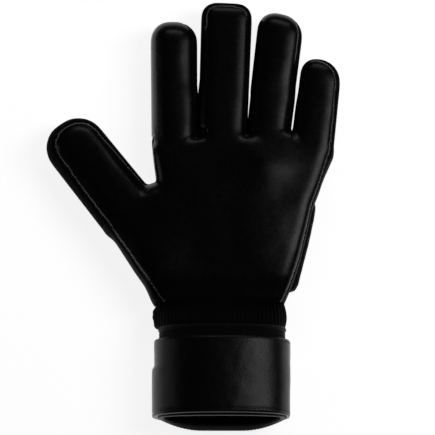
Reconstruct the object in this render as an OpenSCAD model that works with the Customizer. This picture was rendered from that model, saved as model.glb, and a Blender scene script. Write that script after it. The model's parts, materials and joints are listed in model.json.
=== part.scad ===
// Goalkeeper glove for the left hand, lying on its back with the palm up.
// +Y runs from the cuff to the fingertips, +X to the little finger and +Z out of the palm.
// The origin is on the flat underside of the backhand pad.

/* [Fingers] */
// Underside height of the finger backs
finger_bottom = 3; // [2:0.5:4]
// Thickness of a finger, back to palm
finger_thick = 30; // [28:0.5:32]
// Latex and lining thickness on the palm side
latex_thick = 4.5; // [3.5:0.5:5]
// Foam thickness on the back of the fingers
back_foam_thick = 5; // [4:0.5:6]
// Wall thickness of the side gussets
gusset_thick = 2.5; // [2:0.25:3]
// Width of the chamfers along the finger edges
edge_round = 3.5; // [2.5:0.5:4]

/* [Bending] */
// Depth of the finger hinge lines under the palm surface
hinge_depth = 8; // [7:0.5:9]
// Largest bend at a knuckle, degrees
knuckle_bend = 60; // [45:1:60]
// Largest bend at a middle joint, degrees
mid_bend = 60; // [45:1:60]
// Clearance between pieces that move against each other
gap = 0.5; // [0.4:0.05:0.6]

/* [Hand] */
// Height of the palm surface
palm_top = 37; // [36:0.5:38]
// Underside height of the backhand panel
back_bottom = 4; // [3.5:0.5:4.5]
// Thickness of the backhand panel
back_panel_thick = 5; // [4:0.5:6]
// Wall thickness of the hand's side panels
side_thick = 3.5; // [3:0.25:4]
// Thickness of the linings
lining_thick = 1; // [0.8:0.1:1.2]

/* [Cuff] */
// Width of the strap around the cuff
strap_across = 88; // [87:0.5:89]
// Height of the strap around the cuff
strap_high = 47; // [46:0.5:48]
// Height of the cuff's middle above the resting plane
cuff_mid = 26.5; // [26:0.25:27]
// Length of the strap along the arm
strap_long = 50; // [48:0.5:51]
// Thickness of the strap
strap_thick = 2.6; // [2.2:0.2:3]
// Wall thickness of the bandage
bandage_thick = 2.4; // [2:0.2:2.8]
// Place of the bandage's lower end
cuff_end = -131; // [-132:0.5:-130]
// Place of the bandage's upper end
cuff_start = -66; // [-66.5:0.5:-65.5]

/* [Hidden] */
// Each digit: name, root place, heading, length, root width, tip width, end radius, middle joint
DIGITS = [
    ["thumb", [-61.5, 12.5], 38.2, 71, 39.4, 37, 17, 35],
    ["index", [-30.4, 60], 0.4, 74, 29, 29, 13, 38],
    ["middle", [0.9, 63], -1.9, 83.7, 31.2, 31.8, 9, 44],
    ["ring", [31.2, 63], -6.9, 77.5, 28.6, 28.6, 12, 40],
    ["little", [59.9, 55], -6.3, 55, 27, 25, 11, 29],
];
HAND_NODES = ["palm_latex", "palm_lining", "backhand_panel", "backhand_lining", "knuckle_pad",
    "backhand_pad", "little_side_panel", "thumb_side_panel", "index_side_gusset", "finger_webs"];
CUFF_NODES = ["elastic_band", "wrist_bandage", "top_binding", "bottom_binding", "loop_patch",
    "strap_wrap", "strap_flap", "hook_patch", "pull_tab"];
PIECES = ["knuckle_fold", "base_latex", "base_gussets", "base_back",
    "mid_fold", "tip_latex", "tip_gusset", "tip_back"];

finger_top = finger_bottom + finger_thick;
hinge_z = finger_top - hinge_depth;
latex_bottom = finger_top - latex_thick;
back_top = finger_bottom + back_foam_thick;
far = 200;
skin_gap = 0.05;
fold_gap = 0.2;
root_trim = 0.3;
wrist_y = -46.5;
palm_bottom = palm_top - latex_thick;
panel_top = back_bottom + back_panel_thick;
web_bottom = panel_top + lining_thick + 2 * skin_gap;
web_top = palm_bottom - lining_thick - 2 * skin_gap;
web_wide = 4;
web_long = 8;
// How far a web sits back from the finger roots
web_back = 1.5;
// Thickness of the slivers that the hulled sheets are drawn between
sliver = 0.01;
// Extra angle that keeps a closed bend from touching
spare_angle = 1;
// Reach of the room kept clear in front of a knuckle
room_long = 20;
root_clear = 0.1;
// Length of the way into a stall, half of it inside the hand
way_long = 24;
// Step of the palm's rounded edge
palm_step = 2.5;
lining_inset = side_thick + 0.2;
wrist_hem = side_thick + 0.1;
// Inner corner and size of the open room under the ring and little fingers' roots
root_room_from = [40, 40, 0];
root_room = [26, 24, far];
dark = [0.06, 0.06, 0.07];
dark_mesh = [0.1, 0.1, 0.11];
dark_foam = [0.08, 0.08, 0.09];
dark_strap = [0.12, 0.12, 0.13];

// ---- Digits: each is drawn along +Y from its root at the origin, then turned into place ----

module placed(d) {
    translate([d[1].x, d[1].y, 0]) rotate([0, 0, d[2]]) children();
}

// Plan outline of a digit, drawn in by the given amount on its sides and end
function digit_plan(d, inward) =
    let (r = d[6] - inward, half_tip = d[5] / 2 - inward, half_root = d[4] / 2 - inward, end = d[3] - inward)
    concat(
        [[half_root, 0]],
        [for (a = [0 : 15 : 90]) [half_tip - r + r * cos(a), end - r + r * sin(a)]],
        [for (a = [90 : 15 : 180]) [-half_tip + r + r * cos(a), end - r + r * sin(a)]],
        [[-half_root, 0]]);

// Wedge over a hinge line, opened so that the bend closes it
module bend_wedge(y, bend, opened) {
    half = tan(bend / 2 + spare_angle) * far / 4 + opened;
    translate([-far / 2, y, hinge_z]) rotate([90, 0, 90]) linear_extrude(far)
        polygon([[-opened, -opened], [opened, -opened], [half, far / 4], [-half, far / 4]]);
}

module slab(y_from, y_to, z_from, z_to) {
    translate([-far / 2, y_from, z_from]) cube([far, y_to - y_from, z_to - z_from]);
}

// A flat sheet of a digit with one chamfered face
module sheet_of(d, z_inner, z_outer, inward = 0) {
    low = min(z_inner, z_outer);
    high = max(z_inner, z_outer);
    chamfer_low = z_outer < z_inner ? edge_round : 0;
    chamfer_high = z_outer > z_inner ? edge_round : 0;
    hull() {
        translate([0, 0, low]) linear_extrude(sliver) polygon(digit_plan(d, inward + chamfer_low));
        translate([0, 0, (z_inner + z_outer) / 2]) linear_extrude(sliver) polygon(digit_plan(d, inward));
        translate([0, 0, high - sliver]) linear_extrude(sliver) polygon(digit_plan(d, inward + chamfer_high));
        translate([0, 0, z_inner - (z_inner > z_outer ? sliver : 0)]) linear_extrude(sliver)
            polygon(digit_plan(d, inward));
    }
}

module wall_of(d) {
    translate([0, 0, back_top + skin_gap]) linear_extrude(latex_bottom - back_top - 2 * skin_gap)
        difference() {
            polygon(digit_plan(d, 0));
            polygon(digit_plan(d, gusset_thick));
        }
}

// Cuts a digit piece to its base stretch, clear of both bends
module base_stretch(d) {
    placed(d) difference() {
        intersection() {
            children();
            slab(root_trim, d[7] - gap / 2, 0, far / 2);
        }
        bend_wedge(0, knuckle_bend, gap);
        bend_wedge(d[7], mid_bend, gap);
    }
}

// Cuts a digit piece to its tip stretch, clear of the middle bend
module tip_stretch(d) {
    placed(d) difference() {
        intersection() {
            children();
            slab(d[7] + gap / 2, far, 0, far / 2);
        }
        bend_wedge(d[7], mid_bend, gap);
    }
}

module base_latex(d) {
    color(dark) base_stretch(d) sheet_of(d, latex_bottom, finger_top);
}

module base_gussets(d) {
    color(dark_mesh) base_stretch(d) wall_of(d);
}

module base_back(d) {
    color(dark_foam) base_stretch(d) sheet_of(d, back_top, finger_bottom);
}

module tip_latex(d) {
    color(dark) tip_stretch(d) sheet_of(d, latex_bottom, finger_top);
}

module tip_gusset(d) {
    color(dark_mesh) tip_stretch(d) wall_of(d);
}

module tip_back(d) {
    color(dark_foam) tip_stretch(d) sheet_of(d, back_top, finger_bottom);
}

// Soft crease of the palm sheet across the middle joint
module mid_fold(d) {
    color(dark) placed(d) intersection() {
        sheet_of(d, latex_bottom, finger_top);
        bend_wedge(d[7], mid_bend, gap - fold_gap);
    }
}

// Soft crease of the palm sheet across the knuckle
module knuckle_fold(d) {
    half = d[4] / 2 - root_trim;
    color(dark) placed(d) intersection() {
        translate([-half, -far / 4, latex_bottom]) cube([2 * half, far / 2, latex_thick]);
        bend_wedge(0, knuckle_bend, gap - fold_gap);
    }
}

// ---- Hand ----

function at_root(d, x, y) =
    [d[1].x + x * cos(d[2]) - y * sin(d[2]), d[1].y + x * sin(d[2]) + y * cos(d[2])];
function root_left(d, y = 0) = at_root(d, -d[4] / 2, y);
function root_right(d, y = 0) = at_root(d, d[4] / 2, y);

thumb = DIGITS[0];
index = DIGITS[1];
middle = DIGITS[2];
ring = DIGITS[3];
little = DIGITS[4];
// Outer edge on the little finger's side, from its root to the wrist
little_edge = [root_right(little), [71, 46], [69.6, 37], [65.8, 25], [60.6, 13.5], [58.6, 2], [53.4, -21],
    [48.3, -36], [42.5, wrist_y]];
// Outer edge on the thumb's side, from the wrist to its root
thumb_edge = [[-44.5, wrist_y], [-50.2, -36], [-57, -24], root_left(thumb)];
crotch = [-44, 27];
index_edge = [root_right(thumb), crotch, root_left(index)];

module hand_plan() {
    polygon(concat(
        [root_left(index), root_right(index), root_left(middle), root_right(middle),
         root_left(ring), root_right(ring), root_left(little)],
        little_edge, thumb_edge, [root_right(thumb), crotch]));
}

// The hand's plan drawn in by the given amount, still reaching its open ends
module inner_plan(inward) {
    offset(delta = -inward) hand_plan();
}

module hand_wedges() {
    for (d = DIGITS)
        placed(d) intersection() {
            bend_wedge(0, knuckle_bend, gap);
            translate([-d[4] / 2 - 1, -far / 4, 0]) cube([d[4] + 2, far / 2, far]);
        }
}

// Keeps a hand piece clear of the digits that swing on their knuckles
module digit_room() {
    for (d = DIGITS)
        placed(d) translate([-d[4] / 2 - gap, root_clear - gap / 2, 0])
            cube([d[4] + 2 * gap, room_long, far]);
}

module palm_latex() {
    color(dark) difference() {
        union() {
            translate([0, 0, palm_bottom]) linear_extrude(latex_thick / 2) hand_plan();
            translate([0, 0, palm_bottom + latex_thick / 2]) linear_extrude(latex_thick / 2)
                inner_plan(palm_step);
        }
        hand_wedges();
        digit_room();
    }
}

module palm_lining() {
    color(dark_mesh) difference() {
        translate([0, 0, palm_bottom - lining_thick - skin_gap]) linear_extrude(lining_thick)
            inner_plan(lining_inset);
        hand_wedges();
        digit_room();
    }
}

module backhand_panel() {
    color(dark_foam) difference() {
        translate([0, 0, back_bottom]) linear_extrude(back_panel_thick) hand_plan();
        digit_room();
    }
}

module backhand_lining() {
    color(dark_mesh) difference() {
        translate([0, 0, panel_top + skin_gap]) linear_extrude(lining_thick) inner_plan(lining_inset);
        digit_room();
    }
}

// Raised foam block over the knuckles
module knuckle_pad() {
    color(dark_foam) linear_extrude(back_bottom - skin_gap)
        polygon([[-41, 30], [-42, 53], [-16, 54], [44, 57], [50, 51], [69, 50], [66, 37], [62, 28],
            [20, 27]]);
}

// Raised foam block over the back of the hand, which the glove rests on
module backhand_pad() {
    color(dark_foam) linear_extrude(back_bottom - skin_gap)
        polygon([[-38, 24], [18, 22], [60, 22], [57, 12], [55, 0], [50, -20], [42, -38], [-40, -38],
            [-48, -22], [-42, 0]]);
}

module panel_height() {
    translate([0, 0, panel_top + skin_gap]) linear_extrude(palm_bottom - panel_top - 2 * skin_gap)
        children();
}

// The rim of the hand's plan, as thick as its side panels
module rim() {
    difference() {
        hand_plan();
        inner_plan(side_thick);
    }
}

// The way into a digit's stall, which no wall of the hand may close
module stall_way(d) {
    half = d[4] / 2 - side_thick - skin_gap;
    placed(d) translate([-half, -way_long / 2, 0]) cube([2 * half, way_long, far]);
}

module side_wall(y_low, y_high, x_from, x_to) {
    difference() {
        panel_height() intersection() {
            rim();
            translate([x_from, y_low]) square([x_to - x_from, y_high - y_low]);
        }
        hand_wedges();
        digit_room();
    }
}

module little_side_panel() {
    color(dark_mesh) difference() {
        side_wall(y_low = wrist_y + wrist_hem, y_high = 60, x_from = 40, x_to = 80);
        stall_way(little);
        translate(root_room_from) cube(root_room);
    }
}

module thumb_side_panel() {
    color(dark_mesh) difference() {
        side_wall(y_low = wrist_y + wrist_hem, y_high = 12, x_from = -90, x_to = -40);
        stall_way(thumb);
    }
}

module index_side_gusset() {
    color(dark_mesh) difference() {
        side_wall(y_low = 17, y_high = 62, x_from = -52, x_to = -38);
        stall_way(thumb);
        stall_way(index);
    }
}

// Upright strips that close the hand between neighbouring fingers
module finger_webs() {
    color(dark_mesh) difference() {
        translate([0, 0, web_bottom]) linear_extrude(web_top - web_bottom)
            for (pair = [[index, middle], [middle, ring], [ring, little]])
                translate((root_right(pair[0]) + root_left(pair[1])) / 2 - [0, web_long / 2 + web_back])
                    square([web_wide, web_long], center = true);
        hand_wedges();
        digit_room();
    }
}

// ---- Wrist and cuff: rounded sections drawn in X and Z, then run along Y ----

// Section with round ends, across by high, centred on the cuff
function round_section(across, high) = concat(
    [for (a = [-90 : 10 : 90]) [(across - high) / 2 + high / 2 * cos(a), high / 2 * sin(a)]],
    [for (a = [90 : 10 : 270]) [-(across - high) / 2 + high / 2 * cos(a), high / 2 * sin(a)]]);

module along_arm(y_from, y_to) {
    translate([0, y_to, cuff_mid]) rotate([90, 0, 0]) linear_extrude(y_to - y_from) children();
}

// Ring between the section drawn in by near and by away from the strap's outer face
module ring_section(near, away) {
    difference() {
        polygon(round_section(strap_across - 2 * near, strap_high - 2 * near));
        polygon(round_section(strap_across - 2 * away, strap_high - 2 * away));
    }
}

strap_from = cuff_end + 6.5;
strap_to = strap_from + strap_long;
strap_gap = 0.9;
bandage_outer = strap_thick + strap_gap;
bandage_inner = bandage_outer + bandage_thick;
binding_proud = 0.8;
binding_long = 3.5;
// The elastic's two faces, measured in from the strap's outer face
elastic_outer = 1.6;
elastic_inner = 4.2;
patch_thick = 1.1;
hook_thick = patch_thick - 0.25;
patch_room = 0.3;
// How far each patch stays inside the strap's sides and ends
loop_side = 6;
loop_end = 4;
hook_side = 8;
hook_end = 5;
// Underside of the cuff, where the strap's free end closes
cuff_under = -strap_high / 2 + bandage_outer;
peel_x = -22;
sewn_x = 24;

module elastic_band() {
    color(dark_mesh) along_arm(cuff_start + 1, wrist_y - 1) ring_section(elastic_outer, elastic_inner);
}

module wrist_bandage() {
    color(dark_foam) along_arm(cuff_end + binding_long + skin_gap, cuff_start - binding_long - skin_gap)
        ring_section(bandage_outer, bandage_inner);
}

module top_binding() {
    color(dark_strap) along_arm(cuff_start - binding_long, cuff_start)
        ring_section(bandage_outer - binding_proud, bandage_inner + binding_proud);
}

module bottom_binding() {
    color(dark_strap) along_arm(cuff_end, cuff_end + binding_long)
        ring_section(bandage_outer - binding_proud, bandage_inner + binding_proud);
}

// Strap from its sewn end on the back, round the little finger's side and over to the thumb's side
module strap_wrap() {
    color(dark_strap) along_arm(strap_from, strap_to) difference() {
        ring_section(0, strap_thick);
        translate([peel_x, -strap_high]) square([sewn_x - peel_x, strap_high]);
    }
}

flap_top = cuff_under - 2 * patch_thick - patch_room;
flap_thick = 1.6;
tab_thick = 0.9;
tab_wide = 12;
tab_side = 2;
tab_end = 14;
// Free end of the strap, closed over the cuff's back
module strap_flap() {
    color(dark_strap) along_arm(strap_from, strap_to)
        translate([peel_x + gap, flap_top - flap_thick]) square([sewn_x - peel_x - 3 * gap, flap_thick]);
}

module loop_patch() {
    color(dark_mesh) along_arm(strap_from + loop_end, strap_to - loop_end)
        translate([peel_x + loop_side, cuff_under - patch_thick - skin_gap])
            square([sewn_x - peel_x - 2 * loop_side, patch_thick]);
}

module hook_patch() {
    color(dark_mesh) along_arm(strap_from + hook_end, strap_to - hook_end)
        translate([peel_x + hook_side, flap_top + skin_gap])
            square([sewn_x - peel_x - 2 * hook_side, hook_thick]);
}

// Grip tab sewn under the strap's free end
module pull_tab() {
    color(dark) along_arm(strap_from + tab_end, strap_to - tab_end)
        translate([sewn_x - tab_wide - tab_side, flap_top - flap_thick - tab_thick - skin_gap])
            square([tab_wide, tab_thick]);
}

for (d = DIGITS) {
    knuckle_fold(d);
    base_latex(d);
    base_gussets(d);
    base_back(d);
    mid_fold(d);
    tip_latex(d);
    tip_gusset(d);
    tip_back(d);
}
palm_latex();
palm_lining();
backhand_panel();
backhand_lining();
knuckle_pad();
backhand_pad();
little_side_panel();
thumb_side_panel();
index_side_gusset();
finger_webs();
elastic_band();
wrist_bandage();
top_binding();
bottom_binding();
loop_patch();
strap_wrap();
strap_flap();
hook_patch();
pull_tab();
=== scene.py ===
"""A left-hand goalkeeper glove lying on its back: latex palm, knit gussets, foam back and a strapped cuff."""
import json
import math

import bmesh
import bpy
import numpy as np
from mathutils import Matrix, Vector, noise
from mathutils.bvhtree import BVHTree
from mathutils.kdtree import KDTree

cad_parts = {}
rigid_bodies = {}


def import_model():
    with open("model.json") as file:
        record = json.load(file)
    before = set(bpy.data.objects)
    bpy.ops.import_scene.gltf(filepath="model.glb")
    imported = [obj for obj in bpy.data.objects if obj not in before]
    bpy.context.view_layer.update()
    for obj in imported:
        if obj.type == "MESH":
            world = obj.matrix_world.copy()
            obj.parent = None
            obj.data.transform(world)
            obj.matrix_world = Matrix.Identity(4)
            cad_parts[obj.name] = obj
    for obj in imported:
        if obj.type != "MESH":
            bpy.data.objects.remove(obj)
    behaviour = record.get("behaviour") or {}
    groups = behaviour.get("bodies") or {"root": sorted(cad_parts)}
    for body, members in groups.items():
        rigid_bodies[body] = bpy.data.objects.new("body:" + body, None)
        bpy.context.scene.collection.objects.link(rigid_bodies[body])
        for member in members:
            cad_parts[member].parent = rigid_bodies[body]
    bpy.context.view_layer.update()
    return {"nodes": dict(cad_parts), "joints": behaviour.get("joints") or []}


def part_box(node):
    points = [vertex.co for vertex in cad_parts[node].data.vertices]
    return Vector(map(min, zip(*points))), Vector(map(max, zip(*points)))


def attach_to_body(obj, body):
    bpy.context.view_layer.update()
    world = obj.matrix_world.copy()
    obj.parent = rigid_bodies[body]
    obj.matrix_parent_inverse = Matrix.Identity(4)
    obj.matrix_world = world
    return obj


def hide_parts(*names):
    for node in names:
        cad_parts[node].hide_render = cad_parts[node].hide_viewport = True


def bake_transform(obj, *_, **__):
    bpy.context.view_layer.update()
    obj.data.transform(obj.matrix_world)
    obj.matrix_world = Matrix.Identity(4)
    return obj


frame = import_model()
MM = 0.001
JOINTS = {j["name"]: j for j in frame["joints"]}
UP = Vector((0, 0, 1))

# ---------------------------------------------------------------- sizes, in millimetres

# The filled form: how finely it is joined, smoothed and drawn out again
VOXEL = 1.5
SMOOTH_PASSES = 9
SHRINK = 1.1
LOWEST, HIGHEST = 3.5, 34.0
PALM_LOW, THUMB_LOW = 4.5, 4.0
PALM_EDGE = 11.0
# How much thinner a digit is at its tip, how deep its foot reaches into the palm, how far the foot is drawn
# in there, and how far below the knuckle its full width starts
TAPER = 0.07
FOOT_DEPTH, FOOT_INSET, FOOT_TOP = 24.0, 7.0, 2.0
# Stretch of a digit that its width is measured on, as shares of its length
SHAFT = 0.35, 0.7
# Width comes back from below the knuckle on, length at the tip: each by where it starts and how it fades in
WIDTH_START, WIDTH_FADE = 7.0, 8.0
TIP_START, TIP_FADE = 24.0, 22.0
# The sides' swell near the root: its end up the digit, its fade, and the same from the middle line outwards
SWELL_END, SWELL_FADE, SWELL_CORE = 36.0, 14.0, 6.0
# Neighbouring fingers meet along a wavy surface and stay this far from it
MEETING_GAP = 0.06
MEETING_WAVE, MEETING_PITCH, MEETING_MIDDLE = 0.5, 15.0, 18.0
# Corners closer to a cut than this are moved onto it, and a digit is cut only this near to its bend
CUT_SNAP = 0.3 * VOXEL
CUT_REACH = 4.0
# The hand's edges beside the thumb and beside the index finger lie left of these places, parted at a height
THUMB_EDGE_X, INDEX_EDGE_X, EDGES_PART_Y = -25.0, -30.0, 18.0
# The hand's open end and its hem
WRIST_Y = -50.0
WRIST_MIDDLE = 19.7
HEM_REACH, HEM_ROUND = 18.0, 2.6
HEM_DRAW, HEM_TURN = 0.12, 0.05
# Heights of the seams: around the hand, beside the index finger, along the back, and of a rolled finger
SEAM_HEIGHT = 31.0
INDEX_SIDE_SEAM = 27.5
BACK_HEIGHT = 9.0
ROLLED_HEIGHT = 11.0
SEAM_DIP = 0.75
SEAM_REACH = 1.9
LATEX_WALL = 2.2
LATEX_RISE = 0.45
SIDE_WALL = 1.5
# Piping and stitches
PIPING_RADIUS = 0.36
PIPING_PROUD = 0.12
STITCH_RADIUS = 0.2
STITCH_PITCH = 2.7
STITCH_LENGTH = 1.5
STITCH_INSET = 1.5
# Stretch of a finger above its knuckle that stays with the hand
ROOT_STRAIGHT = 3.0
# Backhand blocks and linings
PAD_HIGH, PAD_EDGE, PAD_CORNER = 8, 3, 5
PAD_VOXEL = 2.0
PAD_SWELL, PAD_PRESSURE, PAD_HELD = 0.8, 4, 1.5
SIM_FRAMES = 20
LINING_CELL = 4.0
LINING_WAVE = 0.25


class Digit:
    """One finger or the thumb, with its own across and along directions from its knuckle hinge."""

    def __init__(self, name, half, length, corner, edge, slant, trims, seams, split, lean, swell):
        knuckle = JOINTS[name + "_knuckle"]
        self.name = name
        self.half_root, self.half_tip = half
        self.length = length
        self.lean = lean
        self.swell_left, self.swell_right = swell
        self.corner, self.edge = corner, edge
        self.slant = slant
        self.trim_left, self.trim_right = trims
        self.seam_left, self.seam_right = seams
        self.split = split
        self.root = Vector(knuckle["pos_m"]) / MM
        self.root.z = 0
        self.across = Vector(knuckle["axis"]).normalized()
        self.along = UP.cross(self.across)
        self.mid = (Vector(JOINTS[name + "_mid"]["pos_m"]) / MM - self.root).to_2d().length

    def place(self, t, s, z=0.0):
        """Point at t across and s along, in millimetres."""
        return self.root + self.across * t + self.along * s + UP * z

    def local(self, co):
        """Across and along places of an array of points, or of one point."""
        rel = np.asarray(co, float)[..., :2] - np.array(self.root)[:2]
        return rel @ np.array(self.across)[:2], rel @ np.array(self.along)[:2]


TRIM = 1.9
# Each digit: name, half widths at its root and tip, length, corner radii of its tip, edge radius,
# how far the tip's corners stand out, what neighbouring sides are trimmed by, seam heights, place of the
# panel split, sideways lean and swell of the sides near the root. Pairs are left and right, palm up.
DIGITS = [
    Digit("thumb", (20.4, 19.4), 71.2, (17.5, 16), 13,
          (1, -1.5), (0, 0), (30.6, 28.3), 25, 0, (0, 0)),
    Digit("index", (14.8, 15.1), 76.3, (11.2, 11.5), 11.5,
          (0, 0), (0, TRIM), (ROLLED_HEIGHT, 30.6), 24, 0, (0, 1.1)),
    Digit("middle", (16.1, 16.7), 85.6, (7.6, 8), 9.5,
          (0, 0), (TRIM, TRIM), (30.4, 30.4), 28, -0.1, (1.1, 0)),
    Digit("ring", (14.2, 14.9), 78.6, (11, 10.6), 11,
          (1.6, -2.1), (TRIM, TRIM), (ROLLED_HEIGHT, 30.6), 25, -0.95, (0, 0.6)),
    Digit("little", (13.8, 13.2), 56.4, (10, 11.5), 10,
          (1, -3), (TRIM, 0), (28.5, 30.6), 17, -0.4, (0.6, 0)),
]
BANDS = ("latex", "side", "back")

# Outlines of the hand, each a few corners that the blocks round off
PALM_PLAN = [(-43, -62), (39, -62), (39, WRIST_Y), (45, -36), (50, -21), (55.5, 2), (58, 13.5), (62.5, 25),
             (66.4, 37), (68.6, 46), (70.5, 51), (54, 56), (48, 61), (40, 63), (34, 60), (0, 59), (-16, 58),
             (-30, 57), (-44, 53), (-43.2, 45), (-40.6, 27), (-47, 10), (-49, -36), (-43, WRIST_Y)]
THUMB_PLAN = [(-42.5, -60), (-43, WRIST_Y), (-46.6, -40), (-55.2, -28), (-66.2, -10.8), (-75.6, 3.2),
              (-72, 16), (-50, 25), (-46, 28.4), (-40.8, 28), (-20, 30), (-10, -10), (-20, -60)]
# Outlines of the backhand's two raised blocks
KNUCKLE_BLOCK = [(-36, 29), (-38, 53), (70, 55.5), (68.6, 45), (66.2, 29.8), (40, 27)]
BACK_BLOCK = [(-36, -36), (-43, -6), (-36, 24), (40, 24), (62.6, 21.5), (61.1, 12.3), (56.6, -8.7),
              (51, -29.8), (48.8, -40)]
# The thumb side panel's seam across the hand, by two of its places
THUMB_SEAM = (-74.2, 2.2), (-40, -47.6)


# ---------------------------------------------------------------- mesh helpers

def to_object(bm, name, smooth=True):
    """Turns a millimetre bmesh into an object in metres."""
    bm.normal_update()
    for v in bm.verts:
        v.co *= MM
    mesh = bpy.data.meshes.new(name)
    bm.to_mesh(mesh)
    bm.free()
    piece = bpy.data.objects.new(name, mesh)
    bpy.context.scene.collection.objects.link(piece)
    if smooth:
        shade_smooth(mesh)
    return piece


def shade_smooth(mesh, angle=38):
    """Shades a mesh smooth except over sharper edges than the angle, in degrees."""
    mesh.shade_smooth()
    mesh.set_sharp_from_angle(angle=math.radians(angle))


def applied(piece):
    """Replaces a piece's mesh by the one its modifiers give."""
    bpy.context.view_layer.update()
    graph = bpy.context.evaluated_depsgraph_get()
    shown = piece.evaluated_get(graph)
    mesh = bpy.data.meshes.new_from_object(shown, preserve_all_data_layers=True, depsgraph=graph)
    old = piece.data
    piece.modifiers.clear()
    piece.data = mesh
    bpy.data.meshes.remove(old)
    return piece


def add_block(bm, plan, low, high, edge, corners=()):
    """A plan outline raised from low to high, with some upright corners and all its rims rounded."""
    base = [bm.verts.new((x, y, low)) for x, y in plan]
    floor = bm.faces.new(base)
    raised = bmesh.ops.extrude_face_region(bm, geom=[floor])["geom"]
    top = [g for g in raised if isinstance(g, bmesh.types.BMVert)]
    bmesh.ops.translate(bm, verts=top, vec=(0, 0, high - low))
    block = set(base) | set(top)
    for index, radius in corners:
        place = Vector(plan[index])
        upright = [e for v in base if v.is_valid and (v.co.to_2d() - place).length < 1e-6
                   for e in v.link_edges if abs(e.verts[0].co.z - e.verts[1].co.z) > 1]
        made = bmesh.ops.bevel(bm, geom=upright, offset=radius, segments=7, profile=0.5, affect="EDGES",
                               material=-1, clamp_overlap=True)
        block |= set(made["verts"])
    block = {v for v in block if v.is_valid}
    rims = {e for v in block for e in v.link_edges if abs(e.verts[0].co.z - e.verts[1].co.z) < 0.01}
    bmesh.ops.bevel(bm, geom=list(rims), offset=edge, segments=6, profile=0.5, affect="EDGES", material=-1,
                    clamp_overlap=True)


def digit_plan(d):
    """A digit's outline from inside the palm to its slanting tip."""
    left, right = d.slant
    half_root_left, half_root_right = d.half_root - d.trim_left, d.half_root - d.trim_right
    half_left, half_right = d.half_tip - d.trim_left, d.half_tip - d.trim_right
    foot_left = half_root_left - (0 if d.trim_left else FOOT_INSET)
    foot_right = half_root_right - (0 if d.trim_right else FOOT_INSET)
    spots = [(-foot_left, -FOOT_DEPTH), (foot_right, -FOOT_DEPTH), (half_root_right, -FOOT_TOP),
             (half_right, d.length + right), (-half_left, d.length + left), (-half_root_left, -FOOT_TOP)]
    return [tuple(d.place(t, s).to_2d()) for t, s in spots]


def smoothstep(x):
    x = np.clip(x, 0, 1)
    return x * x * (3 - 2 * x)


def coords(mesh):
    """A mesh's vertex places as an array."""
    co = np.zeros(len(mesh.vertices) * 3)
    mesh.vertices.foreach_get("co", co)
    return co.reshape(-1, 3)


# ---------------------------------------------------------------- the filled glove's form

def remeshed_form():
    """All blocks joined into one closed skin by a voxel remesh."""
    bm = bmesh.new()
    add_block(bm, PALM_PLAN, PALM_LOW, HIGHEST, PALM_EDGE)
    add_block(bm, THUMB_PLAN, THUMB_LOW, HIGHEST, PALM_EDGE)
    for d in DIGITS:
        corners = [(4, d.corner[0]), (3, d.corner[1])]
        add_block(bm, digit_plan(d), LOWEST, HIGHEST, d.edge, corners)
    bmesh.ops.recalc_face_normals(bm, faces=bm.faces[:])
    form = to_object(bm, "form", smooth=False)
    remesh = form.modifiers.new("remesh", "REMESH")
    remesh.mode = "VOXEL"
    remesh.voxel_size = VOXEL * MM
    return applied(form)


def side_line(d, sign):
    """A digit's outer side in plan, as a point and a direction."""
    root = d.place(sign * d.half_root + d.lean, 0).to_2d()
    tip = d.place(sign * d.half_tip + d.lean, d.length).to_2d()
    return root, tip - root


def middle_x(pair, y):
    """Where two neighbouring digits meet, across the hand, at a height up the hand."""
    total = 0
    for d, sign in zip(pair, (1, -1)):
        root, run = side_line(d, sign)
        total = total + root.x + run.x * (y - root.y) / run.y
    return total / 2


def restore_size(co, d, mine):
    """Stretches a digit back to its real width and length, which smoothing has taken from."""
    t, s = d.local(co)
    shaft = mine & (s > SHAFT[0] * d.length) & (s < SHAFT[1] * d.length)
    half = (d.half_root + d.half_tip) / 2
    grow_left = half / -np.percentile(t[shaft], 0.5) - 1
    grow_right = half / np.percentile(t[shaft], 99.5) - 1
    wider = t * np.where(t > 0, grow_right, grow_left) + d.lean
    swell = np.where(t > 0, d.swell_right, -d.swell_left)
    wider += swell * smoothstep((SWELL_END - s) / SWELL_FADE) * smoothstep(np.abs(t) / SWELL_CORE)
    wider *= smoothstep((s + WIDTH_START) / WIDTH_FADE)
    longer = (d.length - s[mine].max()) * smoothstep((s - d.length + TIP_START) / TIP_FADE)
    move = wider[:, None] * np.array(d.across)[:2] + longer[:, None] * np.array(d.along)[:2]
    co[:, :2] += np.where(mine[:, None], move, 0)
    middle = (LOWEST + HIGHEST) / 2
    thin = TAPER * smoothstep(s / d.length)
    co[:, 2] -= np.where(mine, (co[:, 2] - middle) * thin, 0)


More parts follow.
